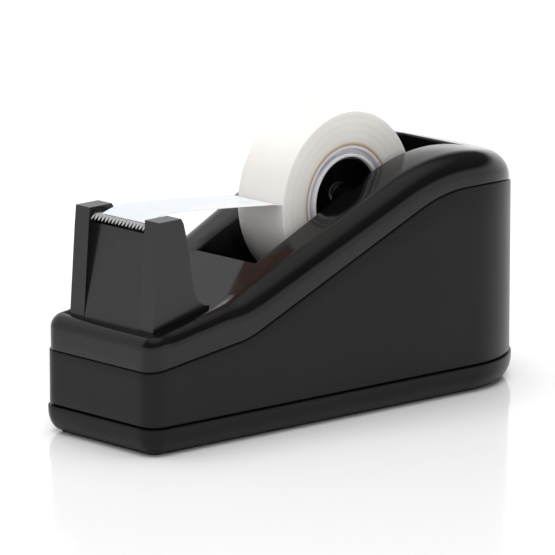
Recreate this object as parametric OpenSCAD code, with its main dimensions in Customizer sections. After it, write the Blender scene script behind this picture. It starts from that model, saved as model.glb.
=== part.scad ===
// Weighted desk tape dispenser: hollow two-part housing, roll well, cutter tower, hub and tape roll.
// Origin at the bottom centre of the bounding box, +Z up, blade end towards -Y, roll axis along X.

/* [Housing] */
// overall length along Y at the base band
body_len = 154.7; // [150:0.1:162]
// band width along X at the blade end
body_w_front = 47.5; // [46:0.1:54]
// width along X where the two long sides would meet the rear end
body_w_rear = 67.3; // [65:0.1:72]
// plan corner radius of the band at the blade end
corner_r = 6; // [5:0.5:9]
// plan radius of the round rear end
corner_rr = 30; // [24:0.5:30]
// how far the band stands proud of the shell
band_proud = 0.5; // [0.2:0.1:1]
// how far the shell stands proud of the cover
step_proud = 0.35; // [0.2:0.05:0.8]
// height of the band's top edge
band_top = 8.2; // [7.5:0.1:10]
// height of the seam groove between band and shell
seam_gap = 0.5; // [0.3:0.1:1]
// bottom edge rounding of the band
band_round = 3.5; // [1:0.25:3.5]
// moulding wall thickness
wall = 2.2; // [1.6:0.1:3]

/* [Deck] */
// deck height at the front station
deck_z_front = 36.9; // [35:0.1:38]
// slope of the front deck in degrees
deck_slope_front = 10.5; // [8:0.5:12]
// deck height at the front edge of the well
deck_z_well = 47.5; // [45:0.1:49]
// slope of the incline in degrees
deck_slope = 23.3; // [22:0.1:25]
// deck height at the rear station
deck_z_rear = 69.9; // [68:0.1:72]
// slope of the rear deck in degrees
deck_slope_rear = -12.8; // [-15:0.1:-10]
// side rounding of the cover
deck_round = 7; // [5:0.5:9]
// front edge rounding of the cover
front_round = 4.5; // [3:0.5:7]
// rear edge rounding of the cover
rear_round = 8; // [5:0.5:10]
// bend radius between incline and rear deck
bend_out_r = 59; // [50:1:66]

/* [Roll well] */
// roll axis position along Y
axis_y = 13.45; // [11:0.05:16]
// roll axis height
axis_z = 59.5; // [58:0.1:62]
// length of the well in front of the roll axis
well_front = 39.6; // [37:0.1:41]
// length of the well behind the roll axis
well_rear = 45; // [40:0.5:47]
// half width of the well
well_half_w = 12.06; // [11.5:0.01:14]
// height of the well floor
well_floor_z = 29; // [27:0.5:31]
// well side wall thickness
well_wall = 3.4; // [3:0.1:4]
// depth of the axle slots into the side walls
slot_depth = 2.3; // [1.8:0.1:2.6]

/* [Tape roll] */
// tape width
tape_w = 19; // [18:0.1:20]
// outer radius of the wound tape
roll_r = 26.26; // [22:0.01:27]
// core bore radius, a one inch core
core_bore_r = 12.7; // [12.6:0.01:12.8]
// outer radius of the core
core_r = 16.13; // [15.5:0.01:17]
// core ring thickness
core_ring = 1; // [0.8:0.1:1.4]
// core web thickness
core_web = 1.2; // [0.8:0.1:2]
// thickness of the free tape end
tail_t = 0.12; // [0.1:0.01:0.3]
// sideways set of the tail at the blade
tail_shift = 2; // [0:0.1:2.1]
// height at which the tail leaves the roll
tail_z = 61.9; // [60.5:0.1:63]

/* [Hub] */
// stub axle radius
axle_r = 3.5; // [3:0.1:4.5]
// radial play between hub and core
hub_fit = 0.05; // [0.02:0.01:0.1]
// play of the stub axle in its slot
axle_play = 0.08; // [0.03:0.01:0.1]
// hub rim thickness
hub_rim = 1.5; // [1.2:0.1:2]
// hub face thickness
hub_face = 1.8; // [1.4:0.1:2.4]

/* [Cutter tower] */
// tower half width
tower_half_w = 17.45; // [16:0.05:19]
// half width of the gap between the ears
gap_half_w = 11.75; // [11.6:0.01:13]
// height of the ear tops
tower_top = 66.2; // [65.4:0.1:68]
// depth of the ears along Y
ear_depth = 8.4; // [7.5:0.1:9]
// front face position at the ear tops
tower_front_top = -68.5; // [-70:0.1:-67]
// front face position at the foot
tower_front_low = -71.2; // [-73:0.1:-70]
// height of the tape platform
platform_z = 64.3; // [62.6:0.1:64.8]
// depth of the front recess at its top
recess_depth = 2.4; // [1.5:0.1:3]
// height of the recess top edge
recess_top = 62.4; // [60:0.1:63]

/* [Blade] */
// blade sheet thickness
blade_t = 0.5; // [0.4:0.05:0.8]
// tooth pitch
tooth_pitch = 1.45; // [1.2:0.05:1.8]
// tooth depth
tooth_depth = 1.2; // [0.8:0.1:1.5]
// radius of the two studs that hold the blade
stud_r = 1.1; // [0.9:0.1:1.4]

/* [Base] */
// thickness of the foot pad
pad_t = 1.2; // [1:0.1:2]
// inset of the foot pad from the band
pad_inset = 3.4; // [3:0.1:6]
// ballast block length
ballast_len = 88; // [70:1:100]
// ballast block width
ballast_w = 30; // [24:1:34]
// ballast block height
ballast_h = 17; // [12:0.5:18]
// screw shank radius
screw_r = 1.3; // [1.2:0.1:1.6]
// radial clearance round screws
screw_gap = 0.05; // [0.03:0.01:0.1]

/* [Hidden] */
$fn = 64;
half_len = body_len / 2;
mid_w = (body_w_front + body_w_rear) / 4;
// both long sides lean out towards the rear
taper = (body_w_rear - body_w_front) / 2 / body_len;
side_a = atan(taper);
// insets of the shell and the cover from the band outline
in_shell = band_proud;
in_cover = band_proud + step_proud;
shell_z = band_top + seam_gap;
corner_yf = corner_r - half_len;
corner_yr = half_len - corner_rr;
corner_xf = mid_w + taper * corner_yf - corner_r / cos(side_a);
corner_xr = mid_w + taper * corner_yr - corner_rr / cos(side_a);
big = 400;
rib = 0.01;
// deck path: three straights joined by two arcs
y_front = -60.8;
y_well = axis_y - well_front;
y_rear = 58.5;
m_f = tan(deck_slope_front);
m_i = tan(deck_slope);
m_r = tan(deck_slope_rear);
k1_y = (deck_z_front - m_f * y_front - deck_z_well + m_i * y_well) / (m_i - m_f);
k1_z = deck_z_front + m_f * (k1_y - y_front);
k2_y = (deck_z_rear - m_r * y_rear - deck_z_well + m_i * y_well) / (m_i - m_r);
k2_z = deck_z_well + m_i * (k2_y - y_well);
turn_out = deck_slope - deck_slope_rear;
t_out = bend_out_r * tan(turn_out / 2);
// the same slopes seen square to a long side
side_f = atan(m_f * cos(side_a));
side_i = atan(m_i * cos(side_a));
side_r = atan(m_r * cos(side_a));
// the crest is a third straight run there, tangent to the arc at its middle
crest_a = (deck_slope + deck_slope_rear) / 2;
side_c = atan(tan(crest_a) * cos(side_a));
crest_t = t_out - bend_out_r * tan(turn_out / 4);
ca_y = k2_y - crest_t * cos(deck_slope);
ca_z = k2_z - crest_t * sin(deck_slope);
cb_y = k2_y + crest_t * cos(deck_slope_rear);
cb_z = k2_z + crest_t * sin(deck_slope_rear);
side_reach = 36;
// lifts the rounded bars so that the side outline trims their crowns
face_lift = 0.03;
// and stands their sides off the plan outline
side_lift = 0.25;
// seam path between shell and cover
seam_front_z = 23.5;
seam_k1_y = -40.6;
seam_k1_z = 29.6;
seam_k2_y = 32.6;
seam_k2_z = 62.1;
seam_k3_y = 53;
seam_k3_z = 62.4;
seam_rear_z = 56.5;
lip_h = 3;
lip_t = 1.2;
lip_gap = 0.05;
// fasteners
boss_r = 3.6;
boss_xf = 15;
boss_xr = 18;
boss_yf = -66.5;
boss_yr = 60;
boss_top = 18;
tray_floor = 2.2;
screw_len = 12;
screw_head_r = 2.6;
screw_head_h = 1.2;
ballast_z = pad_t + tray_floor;
ballast_y = 8;
ballast_hole_y = 30;
tower_hole_x = 11;
tower_hole_y = -63;
tower_head_h = 1.4;
tower_screw_z = k1_z + m_f * (tower_hole_y - k1_y) - wall - 0.7;
tower_screw_len = 9;
hub_r = core_bore_r - hub_fit;
slot_r = axle_r + axle_play;
axle_end = well_half_w + slot_depth - 0.3;

// band outline moved in by i; the corner centres stay where they are
module rounded_plan(i) {
  rf = corner_r - i;
  rr = corner_rr - i;
  nx = cos(side_a);
  ny = -sin(side_a);
  polygon([[-corner_xf, corner_yf - rf], [corner_xf, corner_yf - rf],
    [corner_xf + rf * nx, corner_yf + rf * ny], [corner_xr + rr * nx, corner_yr + rr * ny],
    [corner_xr, corner_yr + rr], [-corner_xr, corner_yr + rr],
    [-corner_xr - rr * nx, corner_yr + rr * ny], [-corner_xf - rf * nx, corner_yf + rf * ny]]);
  for (sx = [-1, 1]) {
    translate([sx * corner_xf, corner_yf])
      circle(r = rf);
    translate([sx * corner_xr, corner_yr])
      circle(r = rr, $fn = 160);
  }
}

module plan_block(i, z0, z1) {
  translate([0, 0, z0])
    linear_extrude(height = z1 - z0)
      rounded_plan(i);
}

module along_x(half) {
  rotate([90, 0, 90])
    translate([0, 0, -half])
      linear_extrude(height = 2 * half)
        children();
}

// cross-section of one half of the cover, side face on x = 0, deck edge on y = 0
module side_section(r, a, depth, top) {
  d = atan(sin(a) * taper);
  rl = r + side_lift;
  zc = (face_lift - rl + r * sin(d)) / cos(d);
  translate([-side_reach, -depth])
    square([side_reach - r, depth + top]);
  translate([-r - 1, -depth])
    square([r + 1 + side_lift, depth + zc]);
  translate([-r, zc])
    circle(r = rl);
}

module side_bar(r, y, z, a, len0, len1, depth, top) {
  translate([0, y, z])
    rotate([a, 0, 0])
      translate([0, len1, 0])
        rotate([90, 0, 0])
          linear_extrude(height = len1 - len0)
            side_section(r, a, depth, top);
}

// side view outline of the deck with rounded ends, moved in by inset
module deck_profile(inset) {
  l = half_len - in_cover - inset;
  ky1 = k1_y;
  kz1 = k1_z - inset;
  ky2 = k2_y;
  kz2 = k2_z - inset;
  zf = kz1 - m_f * (ky1 + l);
  zr = kz2 + m_r * (l - ky2);
  rf = front_round;
  rr = rear_round - inset;
  a_mid = (deck_slope + deck_slope_rear) / 2;
  ch = bend_out_r / cos(turn_out / 2);
  difference() {
    polygon([[-l, -20], [-l, zf], [ky1, kz1], [ky2, kz2], [l, zr], [l, -20]]);
    difference() {
      polygon([[ky2 - t_out * cos(deck_slope), kz2 - t_out * sin(deck_slope)],
        [ky2 - t_out * cos(deck_slope) - 3 * sin(deck_slope), kz2 - t_out * sin(deck_slope) + 3],
        [ky2, kz2 + 4],
        [ky2 + t_out * cos(deck_slope_rear), kz2 + t_out * sin(deck_slope_rear) + 3],
        [ky2 + t_out * cos(deck_slope_rear), kz2 + t_out * sin(deck_slope_rear)]]);
      translate([ky2 + ch * sin(a_mid), kz2 - ch * cos(a_mid)])
        circle(r = bend_out_r, $fn = 256);
    }
    difference() {
      translate([-l - 1, zf - rf])
        square([rf + 1, rf + 3]);
      translate([-l + rf, zf - rf])
        circle(r = rf);
      translate([-l + rf, zf - rf])
        square([3, rf + 3]);
    }
    difference() {
      translate([l - rr, zr - rr])
        square([rr + 1, rr + 3]);
      translate([l - rr, zr - rr])
        circle(r = rr);
    }
  }
}

// half-space before (s < 0) or behind (s > 0) a mitre plane across the path
module path_side(s, y, z, a) {
  translate([0, y / cos(side_a), z])
    rotate([a, 0, 0])
      translate([-80, s > 0 ? 0 : -200, -150])
        cube([160, 200, 300]);
}

// the half of the cover body along one long side
module half_deck(r, inset, depth, top) {
  y1 = k1_y / cos(side_a);
  za = ca_z - inset;
  zb = cb_z - inset;
  translate([mid_w - (in_cover + inset) / cos(side_a), 0, 0])
    rotate([0, 0, -side_a]) {
      side_bar(r, y1, k1_z - inset, side_f, -60, 20, depth, top);
      intersection() {
        side_bar(r, y1, k1_z - inset, side_i, -12, 120, depth, top);
        path_side(-1, ca_y, za, (side_i + side_c) / 2);
      }
      intersection() {
        side_bar(r, ca_y / cos(side_a), za, side_c, -20, 50, depth, top);
        path_side(1, ca_y, za, (side_i + side_c) / 2);
        path_side(-1, cb_y, zb, (side_c + side_r) / 2);
      }
      intersection() {
        side_bar(r, cb_y / cos(side_a), zb, side_r, -20, 80, depth, top);
        path_side(1, cb_y, zb, (side_c + side_r) / 2);
      }
    }
}

// everything under the deck surface
module deck_block(r, inset) {
  intersection() {
    union() {
      half_deck(r, inset, 40, 2);
      mirror([1, 0, 0])
        half_deck(r, inset, 43, 2.6);
    }
    along_x(60)
      deck_profile(inset);
  }
}

// side view region above or below the seam
module seam_profile(upper, dz) {
  pts = [[-half_len - 5, seam_front_z + dz], [seam_k1_y, seam_k1_z + dz],
    [seam_k2_y, seam_k2_z + dz], [seam_k3_y, seam_k3_z + dz],
    [half_len + 5, seam_rear_z + dz]];
  end = upper ? 120 : -20;
  polygon(concat(pts, [[half_len + 5, end], [-half_len - 5, end]]));
}

// lower edge rounding, outer face on x = 0 and underside on y = 0
module edge_section(r, reach, depth) {
  rl = r + side_lift;
  translate([-reach, -depth])
    square([reach - r, depth + 30]);
  translate([-r - 1, rl - face_lift])
    square([r + 1 + side_lift, 30 - rl + face_lift]);
  translate([-r, rl - face_lift])
    circle(r = rl);
}

// band with a rounded lower edge, mitred at the corners
module band_solid(z0, z1, r) {
  intersection() {
    plan_block(0, z0, z1);
    union()
      for (m = [0, 1])
        mirror([m, 0, 0])
          translate([mid_w, 0, z0])
            rotate([0, 0, -side_a])
              translate([0, 100, 0])
                rotate([90, 0, 0])
                  linear_extrude(height = 200)
                    edge_section(r, side_reach, 2 + m);
    translate([0, 0, z0])
      along_x(80)
        for (m = [0, 1])
          mirror([m, 0])
            translate([half_len, 0])
              edge_section(r, half_len + 1, 2);
  }
}

module at_bosses() {
  for (sx = [-1, 1])
    for (p = [[boss_xf, boss_yf], [boss_xr, boss_yr]])
      translate([sx * p[0], p[1], 0])
        children();
}

module base_tray() color([0.05, 0.05, 0.05]) {
  difference() {
    band_solid(pad_t - 0.6, band_top, band_round);
    plan_block(wall + 1.2, pad_t + tray_floor, band_top + 1);
    plan_block(pad_inset + 0.3, -1, pad_t);
    at_bosses()
      cylinder(r = screw_r + 0.3, h = 20);
    at_bosses()
      translate([0, 0, -1])
        cylinder(r = screw_head_r + 0.3, h = pad_t + screw_head_h + 1.1);
    for (s = [-1, 1])
      translate([0, ballast_y + s * ballast_hole_y, 0])
        cylinder(r = 1.6, h = 10);
  }
}

module foot_pad() color([0.1, 0.1, 0.11]) {
  plan_block(pad_inset + 0.6, 0, pad_t);
}

module body_shell() color([0.09, 0.09, 0.09]) {
  difference() {
    intersection() {
      plan_block(in_shell, shell_z, 90);
      along_x(60)
        seam_profile(false, 0);
    }
    plan_block(in_shell + wall, 0, 95);
  }
  difference() {
    union() {
      plan_block(in_shell + wall - rib, shell_z, shell_z + 1.6);
      at_bosses()
        translate([0, 0, shell_z])
          cylinder(r = boss_r, h = boss_top - shell_z);
    }
    translate([-ballast_w / 2 - 2.2, boss_yf + boss_r + 1, 0])
      cube([ballast_w + 4.4, boss_yr - boss_yf - 2 * boss_r - 2, 40]);
    at_bosses()
      translate([0, 0, 2])
        cylinder(r = screw_r + screw_gap, h = screw_len + 1);
  }
  plan_ring_lug();
}

// seam between band and shell: a thin locating rib that reaches the tray floor
module plan_ring_lug() {
  difference() {
    plan_block(wall + 1.5, band_top - 2, shell_z + rib);
    plan_block(wall + 2.7, 0, 20);
  }
}

module well_box(extra, z0, z1) {
  translate([-well_half_w - extra, axis_y - well_front - extra, z0])
    cube([2 * (well_half_w + extra), well_front + well_rear + 2 * extra, z1 - z0]);
}

module top_cover() color([0.03, 0.03, 0.03]) {
  difference() {
    union() {
      difference() {
        intersection() {
          plan_block(in_cover, 15, 90);
          deck_block(deck_round, 0);
          along_x(60)
            seam_profile(true, 0);
        }
        intersection() {
          plan_block(in_cover + wall, 0, 95);
          deck_block(deck_round - wall, wall);
        }
      }
      // locating lip inside the shell
      intersection() {
        difference() {
          plan_block(in_cover + wall - 0.6, 0, 95);
          plan_block(in_cover + wall + lip_t, -1, 96);
        }
        along_x(60)
          difference() {
            seam_profile(true, -lip_h);
            seam_profile(true, 1.5);
          }
        plan_block(in_shell + wall + lip_gap, 0, 95);
      }
      // well walls and floor
      intersection() {
        translate([-well_half_w - well_wall, axis_y - well_front - wall, well_floor_z - wall])
          cube([2 * (well_half_w + well_wall), well_front + well_rear + 2 * wall, 60]);
        along_x(60)
          deck_profile(1);
      }
    }
    well_box(0, well_floor_z, 120);
    // axle slots, open at the deck
    translate([-well_half_w - slot_depth, axis_y - slot_r, axis_z])
      cube([2 * (well_half_w + slot_depth), 2 * slot_r, 30]);
    translate([-well_half_w - slot_depth, axis_y, axis_z])
      rotate([0, 90, 0])
        cylinder(r = slot_r, h = 2 * (well_half_w + slot_depth), $fn = 128);
    // screw holes for the tower
    for (s = [-1, 1])
      translate([s * tower_hole_x, tower_hole_y, 0])
        cylinder(r = screw_r + 0.3, h = 60);
  }
}

module tower_outline() {
  fr = 6;
  difference() {
    polygon([[tower_front_low, 20], [tower_front_low, 31],
      [tower_front_top, tower_top], [tower_front_top + ear_depth, tower_top],
      [-55, 46], [-53.8, 40.2], [-48.5, 40.2], [-48.5, 20]]);
    translate([-48.4, 46.2])
      circle(r = fr, $fn = 96);
  }
}

module cutter_tower() color([0.05, 0.05, 0.055]) {
  difference() {
    along_x(tower_half_w)
      tower_outline();
    // rests on the deck
    along_x(60)
      deck_profile(0);
    // hollow inside
    difference() {
      along_x(tower_half_w - 2)
        polygon([[tower_front_low + 5, 20], [tower_front_top + 5.2, platform_z - 2.2],
          [tower_front_top + ear_depth - 2.4, platform_z - 2.2], [-57.6, 45.6], [-54.8, 38.6],
          [-53.8, 20]]);
      for (s = [-1, 1])
        translate([s * tower_hole_x, tower_hole_y, 20])
          cylinder(r = 3.2, h = 60);
    }
    // gap between the ears
    translate([-gap_half_w, -90, platform_z])
      cube([2 * gap_half_w, 60, 20]);
    // wedge recess in the front face
    translate([0, tower_front_top, recess_top])
      rotate([0, 0, 0])
        along_x(gap_half_w - 0.4)
          polygon([[-6, 4], [-6, -26], [-1.5, -26], [recess_depth, 0], [recess_depth, 4]]);
    // pilot holes for the screws from below
    for (s = [-1, 1])
      translate([s * tower_hole_x, tower_hole_y, 20])
        cylinder(r = screw_r + screw_gap, h = tower_screw_z + tower_screw_len + 1 - 20);
  }
  for (s = [-1, 1])
    translate([s * 7, tower_front_top + 5.4, platform_z - rib])
      cylinder(r = stud_r, h = blade_t + 0.2 + rib);
}

module cutter_blade() color([0.75, 0.75, 0.77]) {
  n = floor((2 * gap_half_w - 0.3) / tooth_pitch);
  w = n * tooth_pitch / 2;
  y0 = tower_front_top + 0.1;
  translate([0, 0, platform_z])
    linear_extrude(height = blade_t)
      difference() {
        union() {
          translate([-w, y0 + tooth_depth - rib])
            square([2 * w, ear_depth - tooth_depth - 1]);
          for (i = [0 : n - 1])
            translate([-w + i * tooth_pitch, y0])
              polygon([[0, tooth_depth], [tooth_pitch / 2, 0], [tooth_pitch, tooth_depth]]);
        }
        for (s = [-1, 1])
          translate([s * 7, tower_front_top + 5.4])
            circle(r = stud_r + 0.05);
      }
}

module ballast_block() color([0.45, 0.45, 0.47]) {
  difference() {
    translate([-ballast_w / 2, ballast_y - ballast_len / 2, ballast_z])
      cube([ballast_w, ballast_len, ballast_h]);
    for (s = [-1, 1])
      translate([0, ballast_y + s * ballast_hole_y, 0])
        cylinder(r = screw_r + screw_gap, h = ballast_z + 9);
  }
}

module ballast_screws() color([0.7, 0.7, 0.72]) {
  for (s = [-1, 1])
    translate([0, ballast_y + s * ballast_hole_y, pad_t]) {
      cylinder(r = screw_r, h = tray_floor + 8);
      cylinder(r = 1.55, h = 0.8);
    }
}

module base_screws() color([0.7, 0.7, 0.72]) {
  at_bosses() {
    translate([0, 0, pad_t])
      cylinder(r = screw_head_r, h = screw_head_h);
    translate([0, 0, pad_t])
      cylinder(r = screw_r, h = screw_len);
  }
}

module tower_screws() color([0.7, 0.7, 0.72]) {
  z = tower_screw_z;
  for (s = [-1, 1])
    translate([s * tower_hole_x, tower_hole_y, 0]) {
      translate([0, 0, z - tower_head_h])
        cylinder(r = screw_head_r, h = tower_head_h);
      translate([0, 0, z - rib])
        cylinder(r = screw_r, h = tower_screw_len);
    }
}

module turned_x(x) {
  translate([x, axis_y, axis_z])
    rotate([0, 90, 0])
      children();
}

module hub_half(spigot) {
  turned_x(0) {
    difference() {
      cylinder(r = hub_r, h = tape_w / 2, $fn = 128);
      translate([0, 0, -1])
        cylinder(r = hub_r - hub_rim, h = tape_w / 2 - hub_face + 1, $fn = 128);
    }
    translate([0, 0, tape_w / 2 - hub_face])
      cylinder(r = axle_r, h = axle_end - tape_w / 2 + hub_face);
    if (spigot)
      translate([0, 0, -4])
        difference() {
          cylinder(r = 6.4, h = 4 + tape_w / 2 - hub_face + rib);
          translate([0, 0, -1])
            cylinder(r = 5, h = 5 + tape_w / 2 - hub_face);
        }
    else
      difference() {
        cylinder(r = 8, h = tape_w / 2 - hub_face + rib);
        translate([0, 0, -1])
          cylinder(r = 6.45, h = 1 + tape_w / 2 - hub_face);
      }
  }
}

module hub_right() color([0.03, 0.03, 0.03])
  hub_half(true);

module hub_left() color([0.03, 0.03, 0.03])
  mirror([1, 0, 0])
    hub_half(false);

module tape_core() color([0.85, 0.82, 0.74]) {
  turned_x(-tape_w / 2)
    difference() {
      cylinder(r = core_r, h = tape_w, $fn = 128);
      translate([0, 0, -1])
        cylinder(r = core_bore_r, h = tape_w + 2, $fn = 128);
      for (z = [-1, (tape_w + core_web) / 2])
        translate([0, 0, z])
          difference() {
            cylinder(r = core_r - core_ring, h = (tape_w - core_web) / 2 + 1, $fn = 128);
            cylinder(r = core_bore_r + core_ring, h = (tape_w - core_web) / 2 + 1, $fn = 128);
          }
    }
}

module tape_roll() color([0.92, 0.92, 0.9]) {
  turned_x(-tape_w / 2)
    difference() {
      cylinder(r = roll_r, h = tape_w, $fn = 192);
      translate([0, 0, -1])
        cylinder(r = core_r + 0.02, h = tape_w + 2, $fn = 128);
    }
}

module tape_tail() color([0.9, 0.9, 0.93]) {
  run = axis_y - roll_r - tower_front_top - 0.6;
  lean = atan((platform_z + blade_t + 0.8 - tail_z) / run);
  translate([0, axis_y - roll_r, tail_z])
    rotate([-lean, 0, 0])
      linear_extrude(height = tail_t)
        polygon([[-tape_w / 2, 0], [-tape_w / 2 + tail_shift, -run],
          [tape_w / 2 + tail_shift, -run], [tape_w / 2, 0]]);
}

base_tray();
foot_pad();
body_shell();
top_cover();
cutter_tower();
cutter_blade();
ballast_block();
ballast_screws();
base_screws();
tower_screws();
hub_left();
hub_right();
tape_core();
tape_roll();
tape_tail();
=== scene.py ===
import math
import bpy
import bmesh
from mathutils import Matrix, Vector
from mathutils.geometry import delaunay_2d_cdt


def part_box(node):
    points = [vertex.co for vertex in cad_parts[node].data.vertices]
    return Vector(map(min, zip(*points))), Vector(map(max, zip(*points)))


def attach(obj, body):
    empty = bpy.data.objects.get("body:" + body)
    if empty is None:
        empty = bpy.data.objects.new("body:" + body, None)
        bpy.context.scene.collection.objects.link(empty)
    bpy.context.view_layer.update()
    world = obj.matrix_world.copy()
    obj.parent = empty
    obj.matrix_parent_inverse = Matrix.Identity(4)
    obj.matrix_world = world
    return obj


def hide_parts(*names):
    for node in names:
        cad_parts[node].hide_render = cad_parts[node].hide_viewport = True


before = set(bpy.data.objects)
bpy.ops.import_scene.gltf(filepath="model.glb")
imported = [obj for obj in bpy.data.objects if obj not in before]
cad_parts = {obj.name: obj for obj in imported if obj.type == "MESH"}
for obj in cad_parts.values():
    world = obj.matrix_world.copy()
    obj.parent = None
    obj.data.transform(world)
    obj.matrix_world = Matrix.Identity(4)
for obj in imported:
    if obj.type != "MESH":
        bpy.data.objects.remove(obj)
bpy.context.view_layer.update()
MM = 0.001

# ---------------------------------------------------------------- positions
roll_lo, roll_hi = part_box("tape_roll")
AX_Y = (roll_lo.y + roll_hi.y) / 2 / MM
AX_Z = (roll_lo.z + roll_hi.z) / 2 / MM
ROLL_R = (roll_hi.z - roll_lo.z) / 2 / MM
TAPE_W = (roll_hi.x - roll_lo.x) / MM
core_lo, core_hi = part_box("tape_core")
CORE_R = (core_hi.z - core_lo.z) / 2 / MM
tray_lo, tray_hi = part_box("base_tray")
HALF = tray_hi.y / MM
BAND_LOW = tray_lo.z / MM
BAND_TOP = 8.2
SHELL_Z = 8.7
tower_lo, tower_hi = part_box("cutter_tower")
TOWER_TOP = tower_hi.z / MM

# plan outline of the band: tapered long sides, small front corners, round rear
W_FRONT = 23.75
W_REAR = 33.65
R_FRONT = 6.0
R_REAR = 30.0
TAN_SIDE = (W_REAR - W_FRONT) / (2 * HALF)
MID_W = (W_FRONT + W_REAR) / 2
SIDE_A = math.atan(TAN_SIDE)
IN_SHELL = 0.5
IN_COVER = 0.85

# camera: millimetres of film, degrees round the roll axis, metres from it
SENSOR_W = 36.0
LENS = 392.82
CAM_AZ = 46.293
CAM_EL = 12.828
CAM_DIST = 1.772261
CAM_RIGHT = -0.013921
CAM_UP = -0.024108

# roll well
WELL_W = 12.06
WELL_Y0 = AX_Y - 39.6
WELL_Y1 = AX_Y + 45.0
WELL_FLOOR = 29.0
WELL_LIP = 0.6

# width of the slope inside the raised rim
RIM_W = 2.6

# axle slots in the well walls
SLOT_R = 3.58
SLOT_HALF = 14.36
SLOT_TOP = 82.0

# cutter
TOWER_GAP = 11.6
BLADE_TEETH = 16
BLADE_HALF = 11.5
BLADE_T = 0.32

# free tape end
TAIL_T = 0.12
TAIL_SHIFT = 2.0


def soft_step(a, b, t):
    t = min(max((t - a) / (b - a), 0.0), 1.0)
    return t * t * (3 - 2 * t)


def path_z(y, knots, slopes, ends, blends):
    """Height on a chain of straight lines, each kink rounded by a parabola of half length b."""
    z = knots[0][1] + ends[0] * (y - knots[0][0])
    lines = [ends[0]] + slopes + [ends[1]]
    for i, (ky, kz) in enumerate(knots):
        if y > ky:
            z = kz + lines[i + 1] * (y - ky)
    for i, (ky, kz) in enumerate(knots):
        b = blends[i]
        if abs(y - ky) < b:
            m0, m1 = lines[i], lines[i + 1]
            u = y - ky + b
            z = kz - m0 * b + m0 * u + (m1 - m0) * u * u / (4 * b)
    return z


INC = math.tan(math.radians(23.3))
REAR = math.tan(math.radians(-12.8))
CREST = (37.13, 74.75)


def incline(y):
    return 47.5 + INC * (y + 26.14)


def deck_c(y):
    """Deck height along the middle."""
    k1 = (-53.4, incline(-53.4))
    return path_z(y, [k1, CREST], [INC], (0.086, REAR), (2.2, 19.0))


def deck_r(y):
    """Height of the raised rim along the sides."""
    k1 = (-42.9, incline(-42.9))
    return path_z(y, [k1, CREST], [INC], (0.19, REAR), (2.6, 19.0))


def seam(y):
    return path_z(y, [(-40.6, 29.6), (32.6, 62.1), (55.0, 62.4)], [0.444, 0.013],
                  (0.146, -0.2), (3.5, 9.0, 9.0))


# ---------------------------------------------------------------- mesh helpers
def arc(cx, cy, r, a0, a1, n):
    return [(cx + r * math.cos(a0 + (a1 - a0) * i / n), cy + r * math.sin(a0 + (a1 - a0) * i / n))
            for i in range(n + 1)]


def outline(inset):
    """Closed plan outline moved in by inset; the point count never changes."""
    rf = max(R_FRONT - inset, 0.8)
    rr = R_REAR - inset
    yf = -HALF + inset + rf
    yr = HALF - inset - rr
    xf = MID_W + TAN_SIDE * yf - (inset + rf) / math.cos(SIDE_A)
    xr = MID_W + TAN_SIDE * yr - (inset + rr) / math.cos(SIDE_A)
    half = [(xf * i / 8, yf - rf) for i in range(8)]
    half += arc(xf, yf, rf, -math.pi / 2, -SIDE_A, 9)
    a, b = half[-1], arc(xr, yr, rr, -SIDE_A, math.pi / 2, 30)
    side_n = 84
    half += [(a[0] + (b[0][0] - a[0]) * i / side_n, a[1] + (b[0][1] - a[1]) * i / side_n)
             for i in range(1, side_n)]
    half += b
    left = [(-x, y) for x, y in half[::-1] if x > 1e-6]
    return half + left


def new_object(name, bm, mat=None, smooth=True, angle=30):
    bmesh.ops.recalc_face_normals(bm, faces=bm.faces)
    me = bpy.data.meshes.new(name)
    bm.to_mesh(me)
    bm.free()
    ob = bpy.data.objects.new(name, me)
    bpy.context.scene.collection.objects.link(ob)
    if smooth:
        me.shade_smooth()
        me.set_sharp_from_angle(angle=math.radians(angle))
    if mat:
        me.materials.append(mat)
    return ob


def loft(bm, rings, closed_chain=False):
    """Quads between rings of equal length; returns the vertex loops."""
    loops = [[bm.verts.new(Vector(p) * MM) for p in ring] for ring in rings]
    pairs = list(zip(loops, loops[1:]))
    if closed_chain:
        pairs.append((loops[-1], loops[0]))
    for a, b in pairs:
        n = len(a)
        for i in range(n):
            j = (i + 1) % n
            bm.faces.new((a[i], a[j], b[j], b[i]))
    return loops


def ring_at(inset, zfun):
    return [(x, y, zfun(x, y)) for x, y in outline(inset)]


def lathe(name, profile, mat, n=144, closed=True, angle=30):
    """Revolves (radius, x) points round the roll axis."""
    bm = bmesh.new()
    loops = []
    for i in range(n):
        a = 2 * math.pi * i / n
        loops.append([bm.verts.new(Vector((x, AX_Y + r * math.cos(a), AX_Z + r * math.sin(a))) * MM)
                      for r, x in profile])
    m = len(profile)
    for i in range(n):
        a, b = loops[i], loops[(i + 1) % n]
        for k in range(m if closed else m - 1):
            q = (k + 1) % m
            bm.faces.new((a[k], a[q], b[q], b[k]))
    bmesh.ops.remove_doubles(bm, verts=bm.verts, dist=1e-7)
    return new_object(name, bm, mat, angle=angle)


def finish_piece(ob, body, slot, *nodes):
    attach(ob, body)
    if nodes:
        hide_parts(*nodes)
    return ob


def inside(poly, x, y):
    hit = False
    n = len(poly)
    for i in range(n):
        x0, y0 = poly[i]
        x1, y1 = poly[(i + 1) % n]
        if (y0 > y) != (y1 > y) and x < (x1 - x0) * (y - y0) / (y1 - y0) + x0:
            hit = not hit
    return hit


# ---------------------------------------------------------------- materials
def material(name, color, rough, **inputs):
    m = bpy.data.materials.new(name)
    m.use_nodes = True
    nt = m.node_tree
    b = nt.nodes["Principled BSDF"]
    b.inputs["Base Color"].default_value = (*color, 1)
    b.inputs["Roughness"].default_value = rough
    for k, v in inputs.items():
        b.inputs[k.replace("_", " ")].default_value = v
    return m, nt, b


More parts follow.
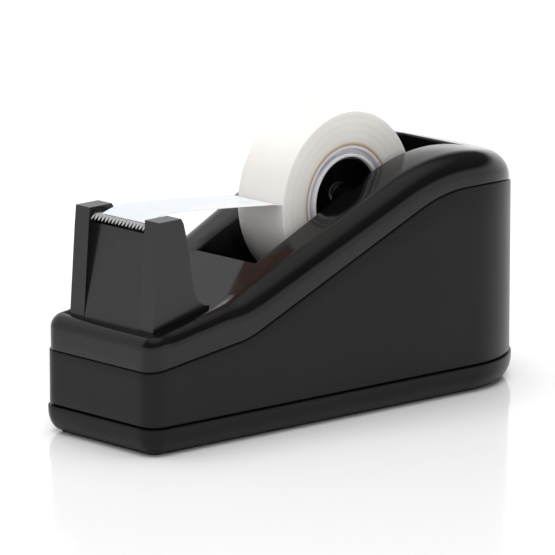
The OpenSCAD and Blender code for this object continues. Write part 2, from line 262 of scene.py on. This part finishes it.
def noise_node(nt, scale, detail=4.0, rough=0.55, stretch=None):
    tc = nt.nodes.new("ShaderNodeTexCoord")
    mp = nt.nodes.new("ShaderNodeMapping")
    if stretch:
        mp.inputs["Scale"].default_value = stretch
    n = nt.nodes.new("ShaderNodeTexNoise")
    n.inputs["Scale"].default_value = scale
    n.inputs["Detail"].default_value = detail
    n.inputs["Roughness"].default_value = rough
    nt.links.new(tc.outputs["Object"], mp.inputs["Vector"])
    nt.links.new(mp.outputs["Vector"], n.inputs["Vector"])
    return n


def ramp(nt, src, lo, hi, p0=0.3, p1=0.7):
    r = nt.nodes.new("ShaderNodeMapRange")
    r.inputs["From Min"].default_value = p0
    r.inputs["From Max"].default_value = p1
    r.inputs["To Min"].default_value = lo
    r.inputs["To Max"].default_value = hi
    nt.links.new(src, r.inputs["Value"])
    return r.outputs["Result"]


def tint(nt, src, c0, c1, p0=0.3, p1=0.7):
    r = nt.nodes.new("ShaderNodeValToRGB")
    r.color_ramp.elements[0].position = p0
    r.color_ramp.elements[0].color = (*c0, 1)
    r.color_ramp.elements[1].position = p1
    r.color_ramp.elements[1].color = (*c1, 1)
    nt.links.new(src, r.inputs["Fac"])
    return r.outputs["Color"]


def bump(nt, src, strength, dist, b):
    n = nt.nodes.new("ShaderNodeBump")
    n.inputs["Strength"].default_value = strength
    n.inputs["Distance"].default_value = dist
    nt.links.new(src, n.inputs["Height"])
    nt.links.new(n.outputs["Normal"], b.inputs["Normal"])


def plastic(name, color, rough0, rough1, grain, grain_h, spec=0.5, shade=0.25):
    """Moulded plastic: colour drift, patchy gloss and a fine surface grain."""
    m, nt, b = material(name, color, rough0, Specular_IOR_Level=spec)
    big = noise_node(nt, 28, 3)
    nt.links.new(ramp(nt, big.outputs["Fac"], rough0, rough1), b.inputs["Roughness"])
    lo = tuple(c * (1 - shade) for c in color)
    hi = tuple(c * (1 + shade) for c in color)
    nt.links.new(tint(nt, big.outputs["Fac"], lo, hi), b.inputs["Base Color"])
    fine = noise_node(nt, grain, 2)
    bump(nt, fine.outputs["Fac"], 0.4, grain_h, b)
    return m


M_COVER = plastic("cover_gloss_black", (0.0028, 0.003, 0.0029), 0.07, 0.11, 900, 0.000004, 0.34)
M_SHELL = plastic("shell_satin_black", (0.0045, 0.0048, 0.0046), 0.28, 0.34, 2600, 0.00002, 0.20)
M_BASE = plastic("base_satin_black", (0.004, 0.0042, 0.0041), 0.26, 0.32, 2600, 0.00002, 0.18)
M_TOWER = plastic("tower_satin_black", (0.0075, 0.0078, 0.0077), 0.22, 0.28, 2600, 0.00002, 0.42)
M_HUB = plastic("hub_gloss_black", (0.003, 0.003, 0.003), 0.10, 0.16, 1200, 0.000006, 0.4)
M_FOAM = plastic("pad_foam_dark", (0.02, 0.02, 0.021), 0.85, 0.95, 1500, 0.0002, 0.3)
M_IRON = plastic("ballast_cast_iron", (0.06, 0.06, 0.062), 0.55, 0.75, 700, 0.0002, 0.5)


def metal(name, color, rough, stretch, scale):
    m, nt, b = material(name, color, rough, Metallic=1.0)
    n = noise_node(nt, scale, 5, 0.6, stretch)
    nt.links.new(ramp(nt, n.outputs["Fac"], rough * 0.7, rough * 1.4), b.inputs["Roughness"])
    nt.links.new(tint(nt, n.outputs["Fac"], tuple(c * 0.82 for c in color), color),
                 b.inputs["Base Color"])
    bump(nt, n.outputs["Fac"], 0.3, 0.00002, b)
    return m


M_STEEL = metal("blade_brushed_steel", (0.62, 0.62, 0.63), 0.26, (1, 14, 1), 500)
M_SCREW = metal("screw_steel", (0.55, 0.55, 0.56), 0.32, (1, 1, 1), 900)


def axial(nt):
    """Radius from the roll axis, in metres, and the helper that makes math nodes."""
    tc = nt.nodes.new("ShaderNodeTexCoord")
    sep = nt.nodes.new("ShaderNodeSeparateXYZ")
    nt.links.new(tc.outputs["Object"], sep.inputs["Vector"])

    def op(kind, a, b=None):
        n = nt.nodes.new("ShaderNodeMath")
        n.operation = kind
        for i, v in enumerate((a, b)):
            if v is None:
                continue
            if isinstance(v, (int, float)):
                n.inputs[i].default_value = v
            else:
                nt.links.new(v, n.inputs[i])
        return n.outputs[0]

    dy = op("SUBTRACT", sep.outputs["Y"], AX_Y * MM)
    dz = op("SUBTRACT", sep.outputs["Z"], AX_Z * MM)
    r = op("SQRT", op("ADD", op("MULTIPLY", dy, dy), op("MULTIPLY", dz, dz)))
    return r, op


def tape_material():
    m, nt, b = material("tape_wound_layers", (0.77, 0.755, 0.725), 0.42,
                        Subsurface_Weight=0.3, Subsurface_Scale=0.003, Specular_IOR_Level=0.4)
    b.inputs["Subsurface Radius"].default_value = (1.0, 1.0, 1.0)
    r, op = axial(nt)
    # thin rings on the cut sides, one per few layers
    waves = op("SINE", op("MULTIPLY", r, 2 * math.pi / 0.00042))
    wide = op("SINE", op("MULTIPLY", r, 2 * math.pi / 0.0023))
    mix = op("ADD", op("MULTIPLY", waves, 0.5), op("MULTIPLY", wide, 0.5))
    n = noise_node(nt, 60, 3)
    both = op("ADD", op("MULTIPLY", mix, 0.25), n.outputs["Fac"])
    nt.links.new(tint(nt, both, (0.70, 0.672, 0.632), (0.765, 0.748, 0.722), 0.2, 0.8),
                 b.inputs["Base Color"])
    # amber glue shows through next to the core
    near_core = ramp(nt, r, 1.0, 0.0, (CORE_R + 0.2) * MM, (CORE_R + 1.3) * MM)
    amber = nt.nodes.new("ShaderNodeMix")
    amber.data_type = "RGBA"
    amber.inputs["B"].default_value = (0.45, 0.30, 0.15, 1)
    nt.links.new(near_core, amber.inputs["Factor"])
    nt.links.new(b.inputs["Base Color"].links[0].from_socket, amber.inputs["A"])
    nt.links.new(amber.outputs["Result"], b.inputs["Base Color"])
    nt.links.new(ramp(nt, n.outputs["Fac"], 0.36, 0.5), b.inputs["Roughness"])
    bump(nt, mix, 0.25, 0.00003, b)
    return m


def core_material():
    m, nt, b = material("core_translucent", (0.74, 0.73, 0.76), 0.3,
                        Subsurface_Weight=0.2, Subsurface_Scale=0.002)
    b.inputs["Subsurface Radius"].default_value = (1.0, 1.0, 1.0)
    n = noise_node(nt, 90, 3)
    nt.links.new(tint(nt, n.outputs["Fac"], (0.62, 0.61, 0.64), (0.78, 0.77, 0.79)),
                 b.inputs["Base Color"])
    nt.links.new(ramp(nt, n.outputs["Fac"], 0.24, 0.4), b.inputs["Roughness"])
    bump(nt, n.outputs["Fac"], 0.2, 0.00003, b)
    return m


def film_material():
    m, nt, b = material("tape_film_clear", (0.70, 0.69, 0.72), 0.28,
                        Subsurface_Weight=0.2, Subsurface_Scale=0.002)
    n = noise_node(nt, 45, 3, 0.5, (1, 0.25, 1))
    nt.links.new(tint(nt, n.outputs["Fac"], (0.62, 0.61, 0.645), (0.71, 0.70, 0.73)),
                 b.inputs["Base Color"])
    nt.links.new(ramp(nt, n.outputs["Fac"], 0.22, 0.34), b.inputs["Roughness"])
    bump(nt, n.outputs["Fac"], 0.15, 0.0001, b)
    return m


M_TAPE = tape_material()
M_CORE = core_material()
M_FILM = film_material()

for node, mat in (("foot_pad", M_FOAM), ("ballast_block", M_IRON), ("ballast_screws", M_SCREW),
                  ("base_screws", M_SCREW), ("tower_screws", M_SCREW)):
    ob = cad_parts[node]
    ob.data.materials.clear()
    ob.data.materials.append(mat)


# ---------------------------------------------------------------- base band
def base_band():
    bm = bmesh.new()
    low = BAND_LOW + 0.1
    rings = [ring_at(3.75, lambda x, y: 1.3), ring_at(3.7, lambda x, y: low)]
    steps = 9
    for i in range(steps + 1):
        t = math.pi / 2 * i / steps
        inset = 3.6 - 3.6 * math.sin(t)
        z = low + 6.2 * (1 - math.cos(t))
        rings.append(ring_at(inset, lambda x, y, z=z: z))
    for inset, z in ((0.0, BAND_TOP - 0.35), (0.12, BAND_TOP - 0.1), (0.35, BAND_TOP),
                     (3.4, BAND_TOP), (3.4, 3.45)):
        rings.append(ring_at(inset, lambda x, y, z=z: z))
    loops = loft(bm, rings)
    bm.faces.new(loops[0][::-1])
    bm.faces.new(loops[-1])
    return finish_piece(new_object("base_band", bm, M_BASE, angle=40), "housing",
                        "base_plastic", "base_tray")


# ---------------------------------------------------------------- side shell
def shell_piece():
    bm = bmesh.new()
    rings = [ring_at(2.7, lambda x, y: SHELL_Z - 0.3), ring_at(1.5, lambda x, y: SHELL_Z - 0.3),
             ring_at(1.5, lambda x, y: SHELL_Z), ring_at(IN_SHELL + 0.25, lambda x, y: SHELL_Z),
             ring_at(IN_SHELL + 0.06, lambda x, y: SHELL_Z + 0.1),
             ring_at(IN_SHELL, lambda x, y: SHELL_Z + 0.3)]
    for k in range(1, 6):
        f = k / 6
        rings.append(ring_at(IN_SHELL, lambda x, y, f=f: SHELL_Z + 0.3
                             + (seam(y) - 0.5 - SHELL_Z - 0.3) * f))
    rings += [ring_at(IN_SHELL, lambda x, y: seam(y) - 0.4),
              ring_at(IN_SHELL + 0.07, lambda x, y: seam(y) - 0.2),
              ring_at(IN_SHELL + 0.24, lambda x, y: seam(y) - 0.1),
              ring_at(2.7, lambda x, y: seam(y) - 0.1)]
    loft(bm, rings, closed_chain=True)
    return finish_piece(new_object("body_shell_piece", bm, M_SHELL, angle=40), "housing",
                        "shell_plastic", "body_shell")


# ---------------------------------------------------------------- cover
def cut_axle_slots(ob):
    """Two slots for the stub axles in the well walls, open at the deck."""
    r, half = SLOT_R, SLOT_HALF
    side = [(AX_Y + r * math.cos(a), AX_Z + r * math.sin(a))
            for a in (math.pi * (1 + i / 24) for i in range(25))]
    side += [(AX_Y + r, SLOT_TOP), (AX_Y - r, SLOT_TOP)]
    bm = bmesh.new()
    loops = loft(bm, [[(x, y, z) for y, z in side] for x in (-half, half)])
    bm.faces.new(loops[0][::-1])
    bm.faces.new(loops[-1])
    tool = new_object("slot_tool", bm, smooth=False)
    cut = ob.modifiers.new("slots", "BOOLEAN")
    cut.operation = "DIFFERENCE"
    cut.solver = "EXACT"
    cut.object = tool
    bpy.context.view_layer.update()
    done = ob.evaluated_get(bpy.context.evaluated_depsgraph_get())
    me = bpy.data.meshes.new_from_object(done)
    ob.modifiers.clear()
    ob.data = me
    bpy.data.objects.remove(tool)


def fillet_r(x, y):
    """Edge radius of the cover: smaller at the blade end."""
    front = soft_step(-HALF + 4.5, -HALF + 9, y)
    side = 4.6 + 2.4 * soft_step(-52, -34, y)
    return 3.4 + (side - 3.4) * front


def cover_piece():
    bm = bmesh.new()
    base = outline(IN_COVER)
    radius = [fillet_r(x, y) for x, y in base]

    def varied(inset, height):
        """Ring whose inset and height follow the local edge radius."""
        ring = []
        cache = {}
        for i, r in enumerate(radius):
            key = round(r, 2)
            if key not in cache:
                cache[key] = outline(inset(key))
            x, y = cache[key][i]
            ring.append((x, y, height(y, r)))
        return ring

    def mixed(fraction, z_drop):
        return varied(lambda key: IN_COVER + key * fraction, lambda y, r: deck_r(y) - r * z_drop)

    rings = [ring_at(3.0, lambda x, y: 22.0), ring_at(3.0, lambda x, y: seam(y) - 0.1),
             ring_at(IN_COVER + 0.5, lambda x, y: seam(y) + 0.05),
             ring_at(IN_COVER + 0.2, lambda x, y: seam(y) + 0.1),
             ring_at(IN_COVER + 0.05, lambda x, y: seam(y) + 0.25),
             ring_at(IN_COVER, lambda x, y: seam(y) + 0.5)]
    start = mixed(0.0, 1.0)
    seam_ring = rings[-1]
    rings.append([(a[0], a[1], (a[2] + b[2]) / 2) for a, b in zip(seam_ring, start)])
    steps = 10
    for i in range(steps + 1):
        t = math.pi / 2 * i / steps
        rings.append(mixed(1 - math.cos(t), 1 - math.sin(t)))
    # inner slope of the raised rim round the tower foot
    for extra in (0.5, 1.0, 1.5, 2.0, RIM_W):
        blend = soft_step(0, RIM_W, extra)
        rings.append(varied(lambda key: IN_COVER + key + extra,
                            lambda y, r: deck_r(y) + (deck_c(y) - deck_r(y)) * blend))
    loops = loft(bm, rings)
    bm.faces.new(loops[0][::-1])

    # deck between the rim and the well
    rim = [(p[0], p[1]) for p in rings[-1]]
    lip = WELL_LIP
    w, y0, y1 = WELL_W + lip, WELL_Y0 - lip, WELL_Y1 + lip
    stations = [-74 + 1.5 * i for i in range(12)]
    stations += [-55.6 + 0.55 * i for i in range(9)] + [-49 + 4 * i for i in range(6)]
    stations += [-20 + 6 * i for i in range(7)] + [18.5 + 2.4 * i for i in range(17)]
    stations += [60 + 3 * i for i in range(4)]
    stations = sorted(set(round(s, 3) for s in stations))
    well = []
    ys = [y0] + [s for s in stations if y0 + 0.3 < s < y1 - 0.3] + [y1]
    right = [(w, y) for y in ys]
    left = [(-w, y) for y in ys[::-1]]
    back = [(w - 2 * w * i / 6, y1) for i in range(1, 6)]
    front = [(-w + 2 * w * i / 6, y0) for i in range(1, 6)]
    well = right + back + left + front
    pts = [Vector(p) for p in rim] + [Vector(p) for p in well]
    nr, nw = len(rim), len(well)
    edges = [(i, (i + 1) % nr) for i in range(nr)]
    edges += [(nr + i, nr + (i + 1) % nw) for i in range(nw)]
    for s in stations:
        xs = []
        for i in range(nr):
            a, b = rim[i], rim[(i + 1) % nr]
            if (a[1] > s) != (b[1] > s):
                xs.append(a[0] + (b[0] - a[0]) * (s - a[1]) / (b[1] - a[1]))
        if len(xs) < 2:
            continue
        x_in = max(xs) - 0.15
        pieces = [(-x_in, x_in)]
        if y0 < s < y1:
            pieces = [(-x_in, -w), (w, x_in)]
        for a, b in pieces:
            n = len(pts)
            pts += [Vector((a, s)), Vector((b, s))]
            edges.append((n, n + 1))
    out = delaunay_2d_cdt(pts, edges, [], 0, 1e-4)
    coords, faces, origin = out[0], out[2], out[3]
    lookup = {}
    for i, src in enumerate(origin):
        for o in src:
            if o < nr:
                lookup[i] = loops[-1][o]
    verts = {}

    def vert(i):
        if i in lookup:
            return lookup[i]
        if i not in verts:
            x, y = coords[i]
            verts[i] = bm.verts.new(Vector((x, y, deck_c(y))) * MM)
        return verts[i]

    for f in faces:
        cx = sum(coords[i][0] for i in f) / len(f)
        cy = sum(coords[i][1] for i in f) / len(f)
        if abs(cx) < w and y0 < cy < y1:
            continue
        if not inside(rim, cx, cy):
            continue
        try:
            bm.faces.new([vert(i) for i in f])
        except ValueError:
            pass
    # well mouth with a small rounded lip, walls and floor
    well_ids = {}
    for i, src in enumerate(origin):
        for o in src:
            if nr <= o < nr + nw:
                well_ids[o - nr] = vert(i)
    top = [well_ids[i] for i in range(nw)]

    def well_ring(shrink, drop, z=None):
        ring = []
        for x, y in well:
            px = max(min(x, w - shrink), shrink - w)
            py = max(min(y, y1 - shrink), y0 + shrink)
            ring.append(bm.verts.new(Vector((px, py, deck_c(y) - drop if z is None else z)) * MM))
        return ring

    chain = [top, well_ring(lip * 0.5, lip * 0.13), well_ring(lip * 0.87, lip * 0.5),
             well_ring(lip, lip), well_ring(lip, 0, WELL_FLOOR + 0.6),
             well_ring(lip + 0.5, 0, WELL_FLOOR)]
    for a, b in zip(chain, chain[1:]):
        for i in range(nw):
            j = (i + 1) % nw
            bm.faces.new((a[i], a[j], b[j], b[i]))
    bm.faces.new(chain[-1])
    bmesh.ops.remove_doubles(bm, verts=bm.verts, dist=1e-6)
    ob = new_object("top_cover_piece", bm, M_COVER, smooth=False)
    cut_axle_slots(ob)
    ob.data.shade_smooth()
    ob.data.set_sharp_from_angle(angle=math.radians(32))
    return finish_piece(ob, "housing", "cover_plastic", "top_cover")


# ---------------------------------------------------------------- cutter tower
def tower_piece():
    gap = TOWER_GAP
    half = (tower_hi.x - tower_lo.x) / 2 / MM + 0.1
    back = [(-60.1, TOWER_TOP), (-59.2, 64.6), (-58.3, 61.2), (-57.5, 57.4), (-56.9, 53.3),
            (-56.2, 48.6), (-55.7, 46.0), (-55.0, 43.6), (-54.1, 41.9), (-52.8, 40.6),
            (-51.2, 39.8), (-49.2, 39.35), (-49.9, 37.3), (-49.9, 30)]
    ear = [(-71.5, 30), (-71.2, 34.2), (-69.05, 61.9), (-68.95, 62.5), (-68.6, TOWER_TOP)]
    mid = [(-71.5, 30), (-71.15, 34.25), (-66.6, 61.6), (-65.2, 62.1), (-65.2, 64.3)]
    ears = ear + back
    mids = mid + [(-60.0, 64.3), (-59.15, 64.3)] + back[2:]
    bm = bmesh.new()
    xs = [half, gap, gap, -gap, -gap, -half]
    profs = [ears, ears, mids, mids, ears, ears]
    loops = loft(bm, [[(x, y, z) for y, z in prof] for x, prof in zip(xs, profs)])
    bm.faces.new(loops[0][::-1])
    bm.faces.new(loops[-1])
    bmesh.ops.remove_doubles(bm, verts=bm.verts, dist=1e-6)
    bmesh.ops.dissolve_degenerate(bm, edges=bm.edges, dist=1e-6)
    ob = new_object("tower_piece", bm, M_TOWER, angle=28)
    bev = ob.modifiers.new("bevel", "BEVEL")
    bev.width = 0.9 * MM
    bev.segments = 4
    bev.limit_method = "ANGLE"
    bev.angle_limit = math.radians(32)
    bev.harden_normals = True
    return finish_piece(ob, "housing", "tower_plastic", "cutter_tower")


def blade_piece():
    """Bent steel strip: a flat seat and a row of teeth that point forward and down."""
    teeth, half = BLADE_TEETH, BLADE_HALF
    pitch = 2 * half / teeth
    rows = [(-60.4, 64.62), (-66.6, 64.72), (-67.35, 64.62)]
    bm = bmesh.new()
    grid = [[bm.verts.new(Vector((-half + pitch * i / 2, y, z)) * MM) for i in range(2 * teeth + 1)]
            for y, z in rows]
    for a, b in zip(grid, grid[1:]):
        for i in range(2 * teeth):
            bm.faces.new((a[i], a[i + 1], b[i + 1], b[i]))
    last = grid[-1]
    for i in range(teeth):
        tip = bm.verts.new(Vector((-half + pitch * (i + 0.5), -68.75, 62.95)) * MM)
        bm.faces.new((last[2 * i], last[2 * i + 1], tip))
        bm.faces.new((last[2 * i + 1], last[2 * i + 2], tip))
    ob = new_object("blade_strip", bm, M_STEEL, angle=25)
    solid = ob.modifiers.new("sheet", "SOLIDIFY")
    solid.thickness = BLADE_T * MM
    solid.offset = 0.0
    return finish_piece(ob, "housing", "blade_steel", "cutter_blade")


# ---------------------------------------------------------------- roll group
def roll_pieces():
    h = TAPE_W / 2
    e = 0.35
    wound = [(CORE_R + 0.1, -h + 0.1), (ROLL_R - e, -h), (ROLL_R - 0.1, -h + 0.1), (ROLL_R, -h + e)]
    wound += [(ROLL_R, -h + e + (TAPE_W - 2 * e) * i / 6) for i in range(1, 7)]
    wound += [(ROLL_R - 0.1, h - 0.1), (ROLL_R - e, h), (CORE_R + 0.1, h - 0.1)]
    finish_piece(lathe("tape_wound", wound, M_TAPE, 192), "roll", "tape_wound", "tape_roll")
    core = []
    for s in (1, -1):
        side = [(12.72, h - 0.3), (12.85, h), (13.5, h), (13.65, h - 0.15), (13.7, h - 1.6),
                (15.1, h - 1.6), (15.2, h - 0.3), (15.35, h - 0.1), (CORE_R, h - 0.1)]
        core += [(r, s * x) for r, x in (side if s == 1 else side[::-1])]
    finish_piece(lathe("tape_core_ring", core, M_CORE, 144), "roll", "core_plastic", "tape_core")
    for s, name, node in ((1, "hub_near", "hub_right"), (-1, "hub_far", "hub_left")):
        hub = [(0, 0.0), (12.6, 0.0), (12.62, h - 1.2), (12.45, h - 0.9), (12.1, h - 0.85),
               (11.7, h - 1.1), (11.5, h - 1.6), (11.3, h - 3.4), (10.9, h - 3.8), (5.2, h - 3.8),
               (4.4, h - 3.5), (3.8, h - 2.8), (3.5, h - 1.9), (3.5, 13.75), (3.2, 14.05), (0, 14.05)]
        finish_piece(lathe(name, [(r, s * x) for r, x in hub], M_HUB, 128, closed=False),
                     "roll", "hub_plastic", node)


def tail_piece():
    # centre line from the roll to the blade
    path = [(AX_Y - ROLL_R + 0.02, 61.6), (-16, 62.35), (-24, 63.1), (-32, 63.85), (-40, 64.6),
            (-48, 65.25), (-54, 65.8), (-58, 66.1), (-61.5, 66.05), (-64.5, 65.7), (-67.5, 64.95)]
    n = len(path)
    t = TAIL_T
    cols = 8
    bm = bmesh.new()
    top, bot = [], []
    for i, (y, z) in enumerate(path):
        shift = TAIL_SHIFT * i / (n - 1)
        row_t, row_b = [], []
        for k in range(cols + 1):
            u = k / cols * 2 - 1
            cup = 0.28 * u * u * soft_step(0, 4, i) * (1 - soft_step(n - 4, n - 1, i))
            x = u * 9.45 + shift
            row_t.append(bm.verts.new(Vector((x, y, z + cup + t)) * MM))
            row_b.append(bm.verts.new(Vector((x, y, z + cup)) * MM))
        top.append(row_t)
        bot.append(row_b)
    for i in range(n - 1):
        for k in range(cols):
            bm.faces.new((top[i][k], top[i][k + 1], top[i + 1][k + 1], top[i + 1][k]))
            bm.faces.new((bot[i][k], bot[i + 1][k], bot[i + 1][k + 1], bot[i][k + 1]))
        bm.faces.new((top[i][0], top[i + 1][0], bot[i + 1][0], bot[i][0]))
        bm.faces.new((top[i][cols], bot[i][cols], bot[i + 1][cols], top[i + 1][cols]))
    for i in (0, n - 1):
        for k in range(cols):
            bm.faces.new((top[i][k], bot[i][k], bot[i][k + 1], top[i][k + 1]))
    return finish_piece(new_object("tape_strand", bm, M_FILM, angle=50), "tape_end",
                        "tape_film", "tape_tail")


base_band()
shell_piece()
cover_piece()
tower_piece()
blade_piece()
roll_pieces()
tail_piece()


# ---------------------------------------------------------------- stage
def stage_floor():
    bm = bmesh.new()
    bmesh.ops.create_circle(bm, cap_ends=True, segments=96, radius=6.0)
    ob = new_object("floor", bm, smooth=False)
    m, nt, b = material("floor_pale", (0.90, 0.90, 0.905), 0.09, Specular_IOR_Level=0.8)
    n = noise_node(nt, 2.0, 2)
    nt.links.new(ramp(nt, n.outputs["Fac"], 0.07, 0.12), b.inputs["Roughness"])
    ob.data.materials.append(m)


def area(name, loc, target, sx, sy, power):
    d = bpy.data.lights.new(name, "AREA")
    d.shape = "RECTANGLE"
    d.size = sx
    d.size_y = sy
    d.energy = power
    ob = bpy.data.objects.new(name, d)
    bpy.context.scene.collection.objects.link(ob)
    ob.location = loc
    ob.rotation_euler = (Vector(target) - Vector(loc)).to_track_quat("-Z", "Y").to_euler()
    return ob


def studio():
    """White horizon, a lighter left and top, and a darker patch up behind the object."""
    w = bpy.data.worlds.new("studio")
    bpy.context.scene.world = w
    w.use_nodes = True
    nt = w.node_tree
    bg = nt.nodes["Background"]
    tc = nt.nodes.new("ShaderNodeTexCoord")
    sep = nt.nodes.new("ShaderNodeSeparateXYZ")
    nt.links.new(tc.outputs["Generated"], sep.inputs["Vector"])

    def levels(src, stops):
        r = nt.nodes.new("ShaderNodeValToRGB")
        e = r.color_ramp.elements
        while len(e) < len(stops):
            e.new(0.5)
        for el, (p, v) in zip(e, stops):
            el.position = p
            el.color = (v, v, v, 1)
        nt.links.new(src, r.inputs["Fac"])
        return r.outputs["Color"]

    height = levels(sep.outputs["Z"], [(0.0, 1.0), (0.22, 1.0), (0.42, 0.10), (0.78, 0.16),
                                       (0.96, 0.75)])
    shift = nt.nodes.new("ShaderNodeMapRange")
    shift.inputs["From Min"].default_value = -1.0
    shift.inputs["From Max"].default_value = 1.0
    nt.links.new(sep.outputs["X"], shift.inputs["Value"])
    left = levels(shift.outputs["Result"], [(0.0, 0.95), (0.16, 0.85), (0.30, 0.05), (1.0, 0.0)])
    mix = nt.nodes.new("ShaderNodeMix")
    mix.data_type = "RGBA"
    mix.blend_type = "LIGHTEN"
    mix.inputs["Factor"].default_value = 1.0
    nt.links.new(height, mix.inputs["A"])
    nt.links.new(left, mix.inputs["B"])
    nt.links.new(mix.outputs["Result"], bg.inputs["Color"])
    bg.inputs["Strength"].default_value = 1.0
    c = Vector((0, 0, 0.04))
    fill = area("fill_top", (0.0, 0.0, 1.4), c, 1.6, 1.6, 24)
    fill.visible_glossy = False
    front = area("fill_front", (0.9, -0.9, 0.8), c, 0.9, 0.7, 5)
    front.visible_glossy = False
    bpy.context.scene.view_settings.view_transform = "Standard"


def camera():
    cam = bpy.data.cameras.new("camera")
    ob = bpy.data.objects.new("camera", cam)
    bpy.context.scene.collection.objects.link(ob)
    cam.sensor_width = SENSOR_W
    cam.lens = LENS
    cam.clip_start = 0.05
    cam.clip_end = 30
    az, el = math.radians(CAM_AZ), math.radians(CAM_EL)
    dist, tx, tz = CAM_DIST, CAM_RIGHT, CAM_UP
    back = Vector((math.sin(az) * math.cos(el), -math.cos(az) * math.cos(el), math.sin(el)))
    right = Vector((math.cos(az), math.sin(az), 0))
    up = back.cross(right)
    loc = Vector((0, AX_Y * MM, AX_Z * MM)) + back * dist + right * tx + up * tz
    rot = Matrix((right, up, back)).transposed().to_4x4()
    ob.matrix_world = Matrix.Translation(loc) @ rot
    bpy.context.scene.camera = ob


stage_floor()
studio()
camera()
